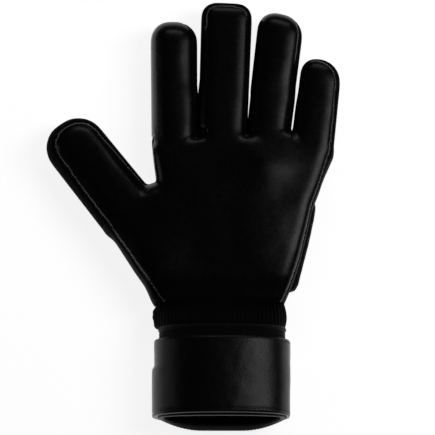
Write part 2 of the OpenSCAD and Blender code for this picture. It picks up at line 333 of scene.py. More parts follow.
def shaped(form):
    """Smooths the joined skin, gives the digits their full width back and swells the palm."""
    bm = bmesh.new()
    bm.from_mesh(form.data)
    for v in bm.verts:
        v.co /= MM
    for _ in range(SMOOTH_PASSES):
        bmesh.ops.smooth_vert(bm, verts=bm.verts[:], factor=0.5, use_axis_x=True, use_axis_y=True,
                              use_axis_z=True)
    bm.normal_update()
    co = np.array([v.co for v in bm.verts])
    normals = np.array([v.normal for v in bm.verts])
    co[:, :2] += SHRINK * normals[:, :2]
    owner = digit_numbers(co, past=-8, spread=3)
    for n, d in enumerate(DIGITS):
        restore_size(co, d, owner == n)
    wave = MEETING_WAVE * np.sin(2 * math.pi * (co[:, 2] - MEETING_MIDDLE) / MEETING_PITCH)
    for number, pair in enumerate(zip(DIGITS[1:], DIGITS[2:])):
        meet = middle_x(pair, co[:, 1]) + wave
        left, right = owner == number + 1, owner == number + 2
        co[:, 0] = np.where(left, np.minimum(co[:, 0], meet - MEETING_GAP), co[:, 0])
        co[:, 0] = np.where(right, np.maximum(co[:, 0], meet + MEETING_GAP), co[:, 0])
    co[:, 2] += palm_swell(co, normals[:, 2])
    for v, place in zip(bm.verts, co):
        v.co = place
    bm.normal_update()
    return bm


# Swellings of the palm side: place, radius and height
SWELLINGS = [((0, 5), 55, 3.2), ((32, -14), 24, 1.8), ((28, 40), 17, 2.2), ((-44, -20), 20, 1.4),
             ((-72, 30), 18, 0.8)]


def palm_swell(co, facing_up):
    """How far the palm side rises at each place."""
    rise = np.zeros(len(co))
    for (x, y), radius, high in SWELLINGS:
        rise += high * np.exp(-((co[:, 0] - x) ** 2 + (co[:, 1] - y) ** 2) / radius ** 2)
    rise += np.array([0.3 * noise.noise(Vector(c) / 19) + 0.05 * noise.noise(Vector(c) / 8) for c in co])
    return np.where(facing_up > 0.05, rise * facing_up, 0)


def cut(bm, faces, place, normal):
    """Cuts these faces along a plane, after moving the closest corners onto it."""
    normal = normal.normalized()
    verts = {v for f in faces for v in f.verts}
    for v in verts:
        off = (v.co - place).dot(normal)
        if abs(off) < CUT_SNAP:
            v.co -= normal * off
    edges = {e for f in faces for e in f.edges}
    bmesh.ops.bisect_plane(bm, geom=list(verts) + list(edges) + list(faces), dist=1e-4, plane_co=place,
                           plane_no=normal)


def digit_numbers(co, past=0, spread=5):
    """Which digit each place belongs to, or -1 on the hand."""
    best = np.full(len(co), 1e9)
    owner = np.full(len(co), -1)
    for n, d in enumerate(DIGITS):
        t, s = d.local(co)
        share = np.abs(t) / d.half_root
        inside = (s > past) & (np.abs(t) < d.half_root + spread) & (share < best)
        best[inside] = share[inside]
        owner[inside] = n
    return owner


REGIONS = ["hand"] + [f"{d.name}_{part}" for d in DIGITS for part in ("low", "high")]


def middles(bm):
    """The middle of each face."""
    return np.array([f.calc_center_median() for f in bm.faces])


def region_numbers(co):
    """Which of REGIONS each place belongs to."""
    owner = digit_numbers(co)
    region = np.zeros(len(co), int)
    for n, d in enumerate(DIGITS):
        s = d.local(co)[1]
        region[owner == n] = (1 + 2 * n + (s > d.split))[owner == n]
    return region


INDEX_SIDE, THUMB_SIDE = len(REGIONS), len(REGIONS) + 1


def area_numbers(co):
    """Region numbers, with the hand's edges on both sides of the thumb as areas of their own."""
    area = region_numbers(co)
    area[(area == 0) & (co[:, 0] < THUMB_EDGE_X) & (co[:, 1] <= EDGES_PART_Y)] = THUMB_SIDE
    area[(area == 0) & (co[:, 0] < INDEX_EDGE_X) & (co[:, 1] > EDGES_PART_Y)] = INDEX_SIDE
    return area


def faces_by_area(bm):
    groups = {}
    for f, area in zip(bm.faces, area_numbers(middles(bm))):
        groups.setdefault(int(area), []).append(f)
    return sorted(groups.items())


def seam_plane(d):
    """The slanting plane that parts a digit's latex from its gussets."""
    rise = d.seam_right - d.seam_left
    place = d.place(0, 0, (d.seam_left + d.seam_right) / 2)
    slope = d.across * (2 * d.half_root) + UP * rise
    return place, slope.cross(d.along)


def draw_in_wrist(bm):
    """Draws the hand's open end in towards the elastic and rounds its hem."""
    for v in bm.verts:
        near = float(smoothstep((WRIST_Y + HEM_REACH - v.co.y) / HEM_REACH))
        hem = float(smoothstep((WRIST_Y + HEM_ROUND - v.co.y) / HEM_ROUND))
        v.co.z -= (v.co.z - WRIST_MIDDLE) * (HEM_DRAW * near + HEM_TURN * hem)
        v.co.x *= 1 - HEM_TURN / 3 * hem


def sewn_skin():
    """The form cut open at the wrist and parted into panels along its seams and bends."""
    form = remeshed_form()
    bm = shaped(form)
    bpy.data.objects.remove(form)
    cut(bm, bm.faces[:], Vector((0, WRIST_Y, 0)), Vector((0, 1, 0)))
    beyond = [f for f in bm.faces if f.calc_center_median().y < WRIST_Y]
    bmesh.ops.delete(bm, geom=beyond, context="FACES")
    for d in DIGITS:
        for spot in (0, d.split):
            t, s = d.local(middles(bm))
            near = (np.abs(s - spot) < CUT_REACH) & (np.abs(t) < d.half_root + CUT_REACH)
            cut(bm, [f for f, inside in zip(bm.faces, near) if inside], d.place(0, spot), d.along)
    upper, lower = (Vector((*spot, 0)) for spot in THUMB_SEAM)
    planes = {0: (Vector((0, 0, SEAM_HEIGHT)), UP), INDEX_SIDE: (Vector((0, 0, INDEX_SIDE_SEAM)), UP),
              THUMB_SIDE: (upper, UP.cross(lower - upper))}
    for n, d in enumerate(DIGITS):
        planes[1 + 2 * n] = planes[2 + 2 * n] = seam_plane(d)
    for area, faces in faces_by_area(bm):
        cut(bm, faces, *planes[area])
    for area, faces in faces_by_area(bm):
        cut(bm, faces, Vector((0, 0, BACK_HEIGHT)), UP)
    panel = bm.faces.layers.int.new("panel")
    co = middles(bm)
    for f, area, middle in zip(bm.faces, area_numbers(co), co):
        place, normal = planes[int(area)]
        band = 0 if (Vector(middle) - place).dot(normal) > 0 else 1 if middle[2] > BACK_HEIGHT else 2
        f[panel] = 3 * (int(area) if area < INDEX_SIDE else 0) + band
    draw_in_wrist(bm)
    skin = to_object(bm, "skin")
    finer = skin.modifiers.new("finer", "SUBSURF")
    finer.levels = finer.render_levels = 1
    finer.boundary_smooth = "PRESERVE_CORNERS"
    return applied(skin)


def seam_groove(mesh):
    """Sinks the skin along its seams, so that each panel swells a little between them."""
    bm = bmesh.new()
    bm.from_mesh(mesh)
    panel = bm.faces.layers.int["panel"]
    seam = [v for v in bm.verts if len({f[panel] % 3 for f in v.link_faces}) > 1]
    tree = KDTree(len(seam))
    for n, v in enumerate(seam):
        tree.insert(v.co, n)
    tree.balance()
    bm.normal_update()
    moves = []
    for v in bm.verts:
        away = tree.find(v.co)[2] / MM
        near = 1 - float(smoothstep(away / SEAM_REACH))
        latex = all(f[panel] % 3 == 0 for f in v.link_faces)
        rise = LATEX_RISE * (1 - near) if latex else 0
        moves.append(v.normal * ((rise - SEAM_DIP * near) * MM))
    for v, move in zip(bm.verts, moves):
        v.co += move
    bm.to_mesh(mesh)
    bm.free()


# ---------------------------------------------------------------- panels and seams

def parted(skin):
    """Splits the skin into one object per panel, as {panel number: object}."""
    numbers = np.zeros(len(skin.data.polygons), np.int32)
    skin.data.attributes["panel"].data.foreach_get("value", numbers)
    skin.data.polygons.foreach_set("material_index", numbers)
    before = set(bpy.data.objects) - {skin}
    bpy.context.view_layer.objects.active = skin
    skin.select_set(True)
    bpy.ops.object.mode_set(mode="EDIT")
    bpy.ops.mesh.select_all(action="SELECT")
    bpy.ops.mesh.separate(type="MATERIAL")
    bpy.ops.object.mode_set(mode="OBJECT")
    pieces = {}
    for piece in set(bpy.data.objects) - before:
        piece.select_set(False)
        pieces[piece.data.attributes["panel"].data[0].value] = piece
    return pieces


def thicken(piece, name, wall):
    """Makes a panel a sheet of its own thickness, inwards from the skin."""
    piece.name = piece.data.name = name
    piece.data.polygons.foreach_set("material_index", np.zeros(len(piece.data.polygons), np.int32))
    thick = piece.modifiers.new("thickness", "SOLIDIFY")
    thick.thickness = wall * MM
    thick.offset = -1
    thick.use_rim = True
    applied(piece)
    shade_smooth(piece.data)


def chains(edges):
    """Orders loose edges into runs of vertices."""
    links = {}
    for e in edges:
        for v, w in (e.verts, reversed(e.verts)):
            links.setdefault(v, []).append(w)
    left = set(frozenset(e.verts) for e in edges)
    runs = []
    starts = sorted((v for v in links if len(links[v]) == 1), key=lambda v: v.index)
    for start in starts + sorted(links, key=lambda v: v.index):
        run = [start]
        while True:
            ahead = [w for w in links[run[-1]] if frozenset((run[-1], w)) in left]
            if not ahead:
                break
            left.discard(frozenset((run[-1], ahead[0])))
            run.append(ahead[0])
        if len(run) > 3:
            runs.append(run)
    return runs


def thread_piece(name, lines, radius):
    """Round threads along lines of points in metres, as one mesh."""
    curve = bpy.data.curves.new(name, "CURVE")
    curve.dimensions = "3D"
    curve.bevel_depth = radius * MM
    curve.bevel_resolution = 1
    curve.use_fill_caps = True
    for line in lines:
        spline = curve.splines.new("POLY")
        spline.points.add(len(line) - 1)
        for point, co in zip(spline.points, line):
            point.co = (*co, 1)
    holder = bpy.data.objects.new(name + "_line", curve)
    bpy.context.scene.collection.objects.link(holder)
    bpy.context.view_layer.update()
    mesh = bpy.data.meshes.new_from_object(holder)
    mesh.name = name
    bpy.data.objects.remove(holder)
    piece = bpy.data.objects.new(name, mesh)
    bpy.context.scene.collection.objects.link(piece)
    shade_smooth(mesh, 60)
    return piece


def resampled(line, pitch):
    """Points at even steps along a run."""
    points = np.array(line)
    lengths = np.concatenate([[0], np.cumsum(np.linalg.norm(np.diff(points, axis=0), axis=1))])
    count = max(int(lengths[-1] / pitch), 1)
    spots = (np.arange(count) + 0.5) * lengths[-1] / count
    return np.stack([np.interp(spots, lengths, points[:, k]) for k in range(3)], 1)


def stitch_lines(line, tree):
    """Short stitches beside a seam, lying on the panel above it."""
    spots = resampled(line, STITCH_PITCH * MM)
    found = []
    for n, spot in enumerate(spots):
        ahead = Vector(spots[min(n + 1, len(spots) - 1)] - spots[max(n - 1, 0)])
        if ahead.length < 1e-6:
            continue
        ahead.normalize()
        _, normal, _, _ = tree.find_nearest(Vector(spot))
        side = normal.cross(ahead).normalized()
        if side.z <= 0:
            side.negate()
        target, normal, _, _ = tree.find_nearest(Vector(spot) + side * STITCH_INSET * MM)
        half = ahead * (STITCH_LENGTH / 2 * MM)
        sunk = normal * (STITCH_RADIUS * 0.8 * MM)
        found.append([target - half - sunk, target - half / 2 + sunk / 2, target + half / 2 + sunk / 2,
                      target + half - sunk])
    return found


# ---------------------------------------------------------------- materials

def material(name, colour, roughness, sheen=0.0, specular=0.35, ior=1.3):
    """A material with its shader, ready for a pattern."""
    made = bpy.data.materials.new(name)
    made.use_nodes = True
    shader = made.node_tree.nodes["Principled BSDF"]
    shader.inputs["Base Color"].default_value = (*colour, 1)
    shader.inputs["Roughness"].default_value = roughness
    shader.inputs["Sheen Weight"].default_value = sheen
    shader.inputs["Sheen Roughness"].default_value = 0.45
    shader.inputs["Specular IOR Level"].default_value = specular
    shader.inputs["IOR"].default_value = ior
    return made


def node(made, kind, settings=(), **links):
    """Adds a node, gives its sockets values or links, and returns it."""
    tree = made.node_tree
    added = tree.nodes.new(kind)
    for key, value in dict(settings).items():
        setattr(added, key, value)
    for key, value in links.items():
        socket = added.inputs[int(key[1:])] if key[0] == "i" and key[1:].isdigit() else added.inputs[key]
        if isinstance(value, bpy.types.NodeSocket):
            tree.links.new(value, socket)
        else:
            socket.default_value = value
    return added


def object_place(made, scale=(1, 1, 1)):
    """Object coordinates, stretched."""
    spot = node(made, "ShaderNodeTexCoord")
    mapping = node(made, "ShaderNodeMapping", Vector=spot.outputs["Object"], Scale=scale)
    return mapping.outputs["Vector"]


def ramp(made, value, low, high, dark, light):
    """Maps a value between two stops onto two colours."""
    added = node(made, "ShaderNodeValToRGB", Fac=value)
    added.color_ramp.elements[0].position = low
    added.color_ramp.elements[1].position = high
    added.color_ramp.elements[0].color = (*dark, 1)
    added.color_ramp.elements[1].color = (*light, 1)
    return added.outputs["Color"]


def finish_surface(made, heights, colour=None, rough=None):
    """Chains bumps, each (height socket, strength, distance in mm), into the shader."""
    tree = made.node_tree
    shader = tree.nodes["Principled BSDF"]
    normal = None
    for height, strength, distance in heights:
        bump = node(made, "ShaderNodeBump", Strength=strength, Distance=distance * MM, Height=height)
        if normal is not None:
            tree.links.new(normal, bump.inputs["Normal"])
        normal = bump.outputs["Normal"]
    tree.links.new(normal, shader.inputs["Normal"])
    if colour is not None:
        tree.links.new(colour, shader.inputs["Base Color"])
    if rough is not None:
        tree.links.new(rough, shader.inputs["Roughness"])
    return made


def scaled(colour, share):
    return tuple(share * c for c in colour)


def span(made, value, low, high):
    """Maps a value from 0 to 1 onto a range."""
    added = node(made, "ShaderNodeMapRange", Value=value)
    added.inputs["To Min"].default_value = low
    added.inputs["To Max"].default_value = high
    return added.outputs["Result"]


def latex_material():
    made = material("latex_foam", (0.003, 0.003, 0.004), 0.4, specular=0.5, ior=1.4)
    place = object_place(made)
    cells = node(made, "ShaderNodeTexVoronoi", Vector=place, Scale=2400)
    soft = node(made, "ShaderNodeTexNoise", Vector=place, Scale=55, Detail=4)
    wear = node(made, "ShaderNodeTexNoise", Vector=place, Scale=300, Detail=6)
    colour = ramp(made, soft.outputs["Fac"], 0.3, 0.75, (0.0004, 0.0004, 0.0006), (0.0013, 0.0013, 0.0018))
    rough = span(made, wear.outputs["Fac"], 0.2, 0.36)
    return finish_surface(made, [(cells.outputs["Distance"], 0.14, 0.12), (soft.outputs["Fac"], 0.3, 0.5)],
                          colour, rough)


def knit_material():
    made = material("gusset_knit", (0.005, 0.005, 0.006), 0.85, specular=0.1, ior=1.2)
    place = object_place(made)
    holes = node(made, "ShaderNodeTexVoronoi", (("feature", "F1"),), Vector=place, Scale=620, Randomness=0.25)
    yarn = node(made, "ShaderNodeTexNoise", Vector=place, Scale=1500, Detail=3)
    dark, light = (0.0015, 0.0015, 0.002), (0.0065, 0.0065, 0.0075)
    # Painted shade: the knit's holes are drawn darker and the yarn between them lighter, from the same cells
    # that sink the holes in the bump.
    colour = ramp(made, holes.outputs["Distance"], 0.12, 0.5, dark, light)
    heights = [(holes.outputs["Distance"], 0.9, 0.5), (yarn.outputs["Fac"], 0.3, 0.15)]
    return finish_surface(made, heights, colour)


def weave_material(name, colour, pitch, roughness=0.7, sheen=0.1, specular=0.3, yarns="XY"):
    """Plain woven tape or fabric with a pitch in millimetres and its yarns counted along two directions."""
    made = material(name, colour, roughness, sheen, specular)
    place = object_place(made)
    turns = 2 * math.pi / (pitch * MM) / 20
    warp, weft = (node(made, "ShaderNodeTexWave", (("bands_direction", along),), Vector=place, Scale=turns,
                       Distortion=0.4).outputs["Fac"] for along in yarns)
    both = node(made, "ShaderNodeMath", (("operation", "MULTIPLY"),), i0=warp, i1=weft)
    fuzz = node(made, "ShaderNodeTexNoise", Vector=place, Scale=900, Detail=4)
    # Painted shade and painted light: the gaps between the yarns are darker and the yarn crowns lighter than
    # the fabric's colour, following the same weave as the bump.
    yarn_gap_shade = ramp(made, both.outputs["Value"], 0.05, 0.8, scaled(colour, 0.55), scaled(colour, 1.5))
    return finish_surface(made, [(both.outputs["Value"], 0.6, 0.25), (fuzz.outputs["Fac"], 0.3, 0.2)], yarn_gap_shade)


def foam_material():
    made = material("backhand_foam", (0.006, 0.006, 0.007), 0.6, sheen=0.02, specular=0.25)
    place = object_place(made)
    pores = node(made, "ShaderNodeTexVoronoi", Vector=place, Scale=1100)
    soft = node(made, "ShaderNodeTexNoise", Vector=place, Scale=70, Detail=5)
    colour = ramp(made, soft.outputs["Fac"], 0.3, 0.7, (0.004, 0.004, 0.005), (0.008, 0.008, 0.009))
    heights = [(pores.outputs["Distance"], 0.4, 0.2), (soft.outputs["Fac"], 0.25, 0.5)]
    return finish_surface(made, heights, colour)


def strap_material():
    made = material("strap_grain", (0.004, 0.004, 0.005), 0.34, sheen=0.0, specular=0.5, ior=1.4)
    place = object_place(made)
    grain = node(made, "ShaderNodeTexVoronoi", (("feature", "DISTANCE_TO_EDGE"),), Vector=place, Scale=900)
    fine = node(made, "ShaderNodeTexNoise", Vector=place, Scale=2200, Detail=4)
    soft = node(made, "ShaderNodeTexNoise", Vector=place, Scale=60, Detail=3)
    colour = ramp(made, soft.outputs["Fac"], 0.3, 0.75, (0.001, 0.001, 0.0014), (0.0024, 0.0024, 0.003))
    rough = span(made, fine.outputs["Fac"], 0.24, 0.38)
    heights = [(grain.outputs["Distance"], 0.5, 0.2), (fine.outputs["Fac"], 0.25, 0.08),
               (soft.outputs["Fac"], 0.2, 0.5)]
    return finish_surface(made, heights, colour, rough)


def rib_material():
    made = material("ribbed_elastic", (0.004, 0.004, 0.005), 0.85, sheen=0.01, specular=0.15)
    ribs = node(made, "ShaderNodeTexNoise", Vector=object_place(made, (1, 0.15, 1)), Scale=700, Detail=3)
    yarn = node(made, "ShaderNodeTexNoise", Vector=object_place(made, (1, 0.3, 1)), Scale=1400, Detail=3)
    # Painted shade: the valleys between the ribs are darker than their tops, from the same pattern as the
    # bump.
    colour = ramp(made, ribs.outputs["Fac"], 0.1, 0.9, (0.0015, 0.0015, 0.002), (0.005, 0.005, 0.006))
    return finish_surface(made, [(ribs.outputs["Fac"], 0.5, 0.3), (yarn.outputs["Fac"], 0.4, 0.25)], colour)


def thread_material(name, colour):
    made = material(name, colour, 0.55, sheen=0.01, specular=0.2)
    place = object_place(made)
    twist = node(made, "ShaderNodeTexWave", (("bands_direction", "DIAGONAL"),), Vector=place, Scale=420)
    # Painted shade in the grooves of the twist and painted light on its ridges, from the same waves as the
    # bump.
    shade = ramp(made, twist.outputs["Fac"], 0.1, 0.9, scaled(colour, 0.6), scaled(colour, 1.4))
    return finish_surface(made, [(twist.outputs["Fac"], 0.5, 0.1)], shade)


def pile_material(name, colour, scale, roughness):
    made = material(name, colour, roughness, sheen=0.2)
    place = object_place(made)
    pile = node(made, "ShaderNodeTexNoise", Vector=place, Scale=scale, Detail=6, Roughness=0.7)
    shade = ramp(made, pile.outputs["Fac"], 0.3, 0.7, scaled(colour, 0.4), scaled(colour, 1.6))
    return finish_surface(made, [(pile.outputs["Fac"], 0.9, 0.5)], shade)


def rubber_material():
    made = material("tab_rubber", (0.014, 0.014, 0.015), 0.5, specular=0.5)
    place = object_place(made)
    grit = node(made, "ShaderNodeTexNoise", Vector=place, Scale=1600, Detail=4)
    shade = ramp(made, grit.outputs["Fac"], 0.3, 0.7, (0.01, 0.01, 0.011), (0.02, 0.02, 0.022))
    return finish_surface(made, [(grit.outputs["Fac"], 0.3, 0.1)], shade)


LATEX = latex_material()
KNIT = knit_material()
FOAM = foam_material()
SIDE = weave_material("side_fabric", (0.004, 0.004, 0.005), 1.9, 0.8, 0.01, 0.15, yarns="YZ")
STRAP = strap_material()
RIB = rib_material()
BINDING = weave_material("binding_tape", (0.005, 0.005, 0.007), 0.6, 0.5, sheen=0.02, specular=0.4)
BANDAGE = weave_material("bandage_knit", (0.006, 0.006, 0.007), 0.8, sheen=0.02, specular=0.25)
LINING = pile_material("brushed_lining", (0.03, 0.03, 0.032), 700, 0.9)
THREAD = thread_material("seam_thread", (0.006, 0.006, 0.008))
PIPING = thread_material("seam_piping", (0.004, 0.004, 0.006))
LOOP = pile_material("loop_pile", (0.014, 0.014, 0.015), 1800, 0.9)
HOOK = pile_material("hook_tape", (0.016, 0.016, 0.017), 2600, 0.5)
TAB = rubber_material()


def dress(piece, made, slot_name, *nodes):
    """Gives a piece its material and hides the CAD nodes it stands for. Its slot name is not used."""
    piece.data.materials.clear()
    piece.data.materials.append(made)
    if nodes:
        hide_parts(*nodes)
    return piece


# ---------------------------------------------------------------- where skin pieces are held

def at_height(place):
    return tuple(c * MM for c in place)


def attach(piece, region):
    """Rides a hand piece on the hand; a digit piece only has its transform baked in where it lies."""
    if region == 0:
        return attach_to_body(piece, "hand")
    d = DIGITS[(region - 1) // 2]
    if (region - 1) % 2 == 0:
        start, end = d.place(0, ROOT_STRAIGHT), d.place(0, d.split - 0.5)
        bodies = ("hand", d.name + "_base")
    else:
        reach = d.mid - d.split - 0.5
        start, end = d.place(0, d.mid - reach), d.place(0, d.mid + reach)
        bodies = (d.name + "_base", d.name + "_tip")
    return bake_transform(piece, *bodies, start=at_height(start), end=at_height(end))


def stands_for(region, band):
    """CAD nodes that a skin panel takes the place of."""
    if region == 0:
        walls = ["little_side_panel", "thumb_side_panel", "index_side_gusset", "finger_webs"]
        return (["palm_latex"], walls, ["backhand_panel"])[band]
    d = DIGITS[(region - 1) // 2].name
    if (region - 1) % 2 == 0:
        return ([d + "_base_latex", d + "_knuckle_fold"], [d + "_base_gussets"], [d + "_base_back"])[band]
    return ([d + "_tip_latex", d + "_mid_fold"], [d + "_tip_gusset"], [d + "_tip_back"])[band]


def make_skin():
    """The sewn hand and digits, panel by panel."""
    skin = sewn_skin()
    seam_groove(skin.data)
    make_seams(skin.data)
    looks = [(LATEX, "latex", LATEX_WALL), (KNIT, "mesh", SIDE_WALL), (FOAM, "backhand", LATEX_WALL)]
    for number, piece in sorted(parted(skin).items()):
        region, band = divmod(number, 3)
        made, slot_name, wall = looks[band]
        if region == 0 and band == 1:
            made, slot_name = SIDE, "side_panel"
        thicken(piece, f"{REGIONS[region]}_{BANDS[band]}", wall)
        dress(piece, made, slot_name, *stands_for(region, band))
        attach(piece, region)


def make_seams(mesh):
    """Piping in every seam and a row of stitches on the latex beside it."""
    bm = bmesh.new()
    bm.from_mesh(mesh)
    panel = bm.faces.layers.int["panel"]
    bm.verts.index_update()
    bm.normal_update()
    tree = BVHTree.FromBMesh(bm)
    for region, name in enumerate(REGIONS):
        piping, stitches = [], []
        for lower in (1, 2):
            pair = {3 * region + lower - 1, 3 * region + lower}
            edges = [e for e in bm.edges
                     if len(e.link_faces) == 2 and {f[panel] for f in e.link_faces} == pair]
            for run in chains(edges):
                line = [v.co + v.normal * (PIPING_PROUD * MM) for v in run]
                piping.append(line)
                if lower == 1:
                    stitches += stitch_lines([v.co.copy() for v in run], tree)
        if piping:
            piece = thread_piece(name + "_piping", piping, PIPING_RADIUS)
            attach(dress(piece, PIPING, "binding"), region)
        if stitches:
            piece = thread_piece(name + "_stitches", stitches, STITCH_RADIUS)
            attach(dress(piece, THREAD, "binding"), region)
    bm.free()


# ---------------------------------------------------------------- bands around the wrist and cuff

CUFF_MID = 26.5
# Radius that a band is spun at before it is laid onto the outline
SPIN_RADIUS = 60.0
CUFF_HALF = 40.5, 20.0
# How square the outline is on the palm side and on the back
TOP_POWER, BACK_POWER = 2.35, 3.4
# How far the open end's palm side stays short of its back, and how much less at its crown
MOUTH_SHORT, MOUTH_CROWN = 5.6, 0.9
# Stretch of the cuff that is drawn back with it, from the open end, and its fade
MOUTH_STRETCH, MOUTH_FADE = 22.0, 20.0
CUFF_SHIFT = 0.4
BANDAGE_WALL = 2.4
BINDING_WIDE, BINDING_LOW, BINDING_PROUD = 3.5, -3.1, 0.6
# Size of the hand's open end, which the elastic starts from, and of the elastic's other end
WRIST_ACROSS, WRIST_HIGH = 78.0, 26.0
ELASTIC_ACROSS, ELASTIC_HIGH = 79.5, 38.5
GATHERS = 74
# Pitch and length of the stitches in the cuff and in the strap
CUFF_STITCH, STRAP_STITCH = (2.2, 1.3), (2.4, 1.5)


def cuff_outline():
    """The cuff's cross-section: share of the way round, place, and outward direction."""
    angle = np.linspace(0, 2 * math.pi, 2881)
    c, s = np.cos(angle), np.sin(angle)
    power = np.where(s >= 0, TOP_POWER, BACK_POWER)
    x = np.sign(c) * np.abs(c) ** (2 / power)
    z = np.sign(s) * np.abs(s) ** (2 / power)
    out = np.stack([np.sign(x) * np.abs(x) ** (power - 1) / CUFF_HALF[0],
                    np.sign(z) * np.abs(z) ** (power - 1) / CUFF_HALF[1]])
    out /= np.linalg.norm(out, axis=0)
    x, z = x * CUFF_HALF[0], z * CUFF_HALF[1]
    run = np.concatenate([[0], np.cumsum(np.hypot(np.diff(x), np.diff(z)))])
    return run / run[-1], x, z, out


OUTLINE = cuff_outline()


def section_point(share, across, high):
    """Place and outward direction on the cuff's outline, at a share of the way round from the +X side."""
    shares, x, z, out = OUTLINE
    share %= 1
    wide, tall = across / (2 * CUFF_HALF[0]), high / (2 * CUFF_HALF[1])
    spot = Vector((np.interp(share, shares, x) * wide + CUFF_SHIFT, np.interp(share, shares, z) * tall))
    away = Vector((np.interp(share, shares, out[0]) / wide, np.interp(share, shares, out[1]) / tall))
    return spot, away.normalized()


def back_share(x):
    """The share of the way round at a place across the back of the cuff."""
    shares, xs, _, _ = OUTLINE
    back = len(xs) // 2
    return float(np.interp(x, xs[back:], shares[back:]))


def band_mesh(profile, steps, section, shares=(0, 1), wobble=None):
    """Sweeps a closed profile of (y, height over the section) round the arm.

    section gives (across, high, middle height) at a place y. shares is the stretch of the outline to cover.
    """
    bm = bmesh.new()
    ring = [bm.verts.new((SPIN_RADIUS + h, y, 0)) for y, h in profile]
    edges = [bm.edges.new((a, b)) for a, b in zip(ring, ring[1:] + ring[:1])]
    full = shares == (0, 1)
    angle = 2 * math.pi * (shares[1] - shares[0])
    bmesh.ops.spin(bm, geom=ring + edges, cent=(0, 0, 0), axis=(0, -1, 0), angle=angle, steps=steps,
                   use_merge=full, use_duplicate=False)
    if not full:
        bmesh.ops.holes_fill(bm, edges=[e for e in bm.edges if e.is_boundary], sides=0)
    bmesh.ops.remove_doubles(bm, verts=bm.verts[:], dist=1e-4)
    for v in bm.verts:
        share = math.atan2(v.co.z, v.co.x) / (2 * math.pi) % 1
        height = math.hypot(v.co.x, v.co.z) - SPIN_RADIUS
        if not full:
            share = (share + shares[0]) % 1
        across, high, middle = section(v.co.y)
        spot, out = section_point(share, across, high)
        if wobble:
            height += wobble(share, v.co.y, height)
        v.co = Vector((spot.x + out.x * height, v.co.y, middle + spot.y + out.y * height))
    bmesh.ops.recalc_face_normals(bm, faces=bm.faces[:])
    return bm


def mouth_bend(y, z):
    """The cuff's open end reaches further along the back of the wrist than on its sides."""
    behind = (CUFF_MID - z) / CUFF_HALF[1]
    if behind > 0:
        reach = MOUTH_SHORT * (1 - behind ** 5)
    else:
        reach = MOUTH_SHORT - MOUTH_CROWN * abs(behind) ** 1.3
    return max(reach, 0) * float(smoothstep((CUFF_END + MOUTH_STRETCH - y) / MOUTH_FADE))


def cuff_section(y):
    """The bandage's outer outline."""
    return 2 * CUFF_HALF[0], 2 * CUFF_HALF[1], CUFF_MID


def rounded_profile(y_from, y_to, low, high, across_steps, corner=0.8):
    """A flat strip's closed profile with softened corners."""
    ys = np.linspace(y_to - corner, y_from + corner, across_steps)
    top = [(y, high) for y in ys]
    bottom = [(y, low) for y in ys[::-1]]
    round_low = [(y_from + 0.3 * corner, high - 0.3 * corner), (y_from, (low + high) / 2),
                 (y_from + 0.3 * corner, low + 0.3 * corner)]
    round_high = [(y_to - 0.3 * corner, low + 0.3 * corner), (y_to, (low + high) / 2),
                  (y_to - 0.3 * corner, high - 0.3 * corner)]
    return top + round_low + bottom + round_high


STRAP_FROM, STRAP_TO = (c.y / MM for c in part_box("strap_wrap"))
CUFF_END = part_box("bottom_binding")[0].y / MM
CUFF_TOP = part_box("top_binding")[1].y / MM


def shape_mouth(bm):
    """Draws a band's stretch near the open end back to the mouth's shape."""
    for v in bm.verts:
        v.co.y += mouth_bend(v.co.y, v.co.z)


def make_bandage():
    """Padded cuff tube, its outside a little uneven."""
    profile = rounded_profile(CUFF_END + 2.5, CUFF_TOP - 2.5, -BANDAGE_WALL, 0.0, 40)

    def wobble(share, y, height):
        return 0.25 * noise.noise(Vector((share * 40, y / 9, 3.1))) if height > -1 else 0

    bm = band_mesh(profile, 220, cuff_section, wobble=wobble)
    shape_mouth(bm)
    piece = to_object(bm, "cuff_bandage")
    dress(piece, BANDAGE, "bandage", "wrist_bandage")
    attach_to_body(piece, "cuff")


def make_binding(name, y_from, y_to, cad_node):
    """Folded tape over a raw edge of the cuff."""
    profile = rounded_profile(y_from, y_to, BINDING_LOW, BINDING_PROUD, 6, 1.3)

    def wobble(share, y, height):
        return 0.12 * math.sin(share * 2 * math.pi * 90) if height > 0 else 0

    bm = band_mesh(profile, 360, cuff_section, wobble=wobble)
    shape_mouth(bm)
    piece = to_object(bm, name)
    dress(piece, BINDING, "binding", cad_node)
    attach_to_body(piece, "cuff")


def section_line(y, height, shares, count, bent=True):
    """Points round the cuff at a place along it, from one share of the way round to another."""
    across, high, middle = cuff_section(y)
    line = []
    for share in np.linspace(*shares, count):
        spot, out = section_point(float(share), across, high)
        z = middle + spot.y + out.y * height
        line.append(Vector((spot.x + out.x * height, y + (mouth_bend(y, z) if bent else 0), z)) * MM)
    return line


def stitch_row(y, height, pitch, length, shares=(0, 1), bent=True):
    """A row of short stitches round the cuff."""
    across, high, _ = cuff_section(y)
    around = math.pi * high + 2 * (across - high)
    count = int(around * (shares[1] - shares[0]) / pitch)
    rows = []
    for n in range(count):
        start = shares[0] + (shares[1] - shares[0]) * n / count
        rows.append(section_line(y, height, (start, start + length / around), 3, bent))
    return rows


def make_cuff_stitches():
    rows = []
    for y in (CUFF_TOP - 4.6, CUFF_TOP - 6.4, CUFF_END + 4.6):
        rows += stitch_row(y, 0.2, *CUFF_STITCH)
    for y in (CUFF_TOP - 1.8, CUFF_END + 1.8):
        rows += stitch_row(y, 0.75, *CUFF_STITCH)
    piece = thread_piece("cuff_stitches", rows, STITCH_RADIUS)
    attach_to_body(dress(piece, THREAD, "binding"), "cuff")


STRAP_SHARES = back_share(12) - 1, back_share(-11.6)
STRAP_LOW, STRAP_HIGH = 0.7, 3.4
# How far the strap's rows of stitches lie from its lower and upper edge
ROW_LOWER, ROW_UPPER = 2.6, 2.2
# How far the strap stands out further on the thumb's side, and the place along the cuff it starts below
BULGE_HIGH, BULGE_Y = 1.5, -91.0


